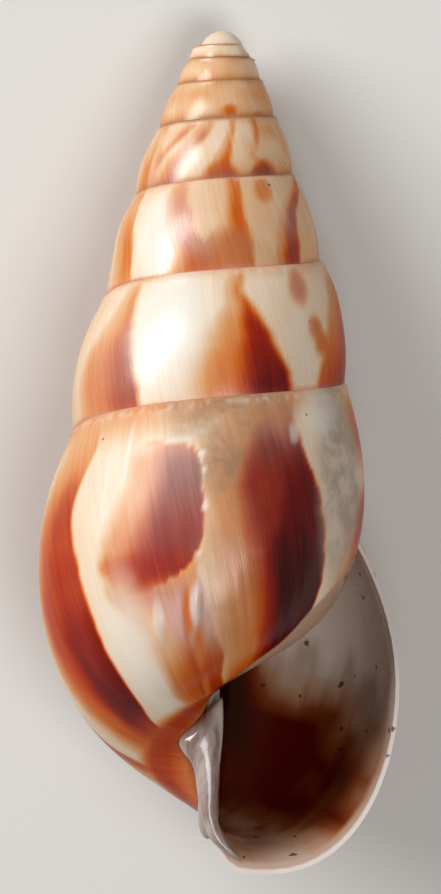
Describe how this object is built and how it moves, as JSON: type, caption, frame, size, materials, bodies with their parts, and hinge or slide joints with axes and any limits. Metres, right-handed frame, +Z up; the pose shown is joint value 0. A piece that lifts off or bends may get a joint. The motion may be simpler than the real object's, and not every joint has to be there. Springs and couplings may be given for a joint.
{
  "type": "land snail shell",
  "caption": "Tall-spired, right-handed land snail shell, hollow with a long oval mouth, glossy and flame-marked, lying with the mouth up.",
  "frame": {"origin": "on the ground below the middle of the shell's bounding box", "axes": "+Y along the shell's length towards the apex, +Z up out of the mouth, +X to the side of the outer lip"},
  "size_m": [0.0192, 0.044, 0.0171],
  "materials": {
    "shell": "glossy worn calcium carbonate shell"
  },
  "bodies": {
    "root": {"shell": "shell"}
  },
  "joints": []
}
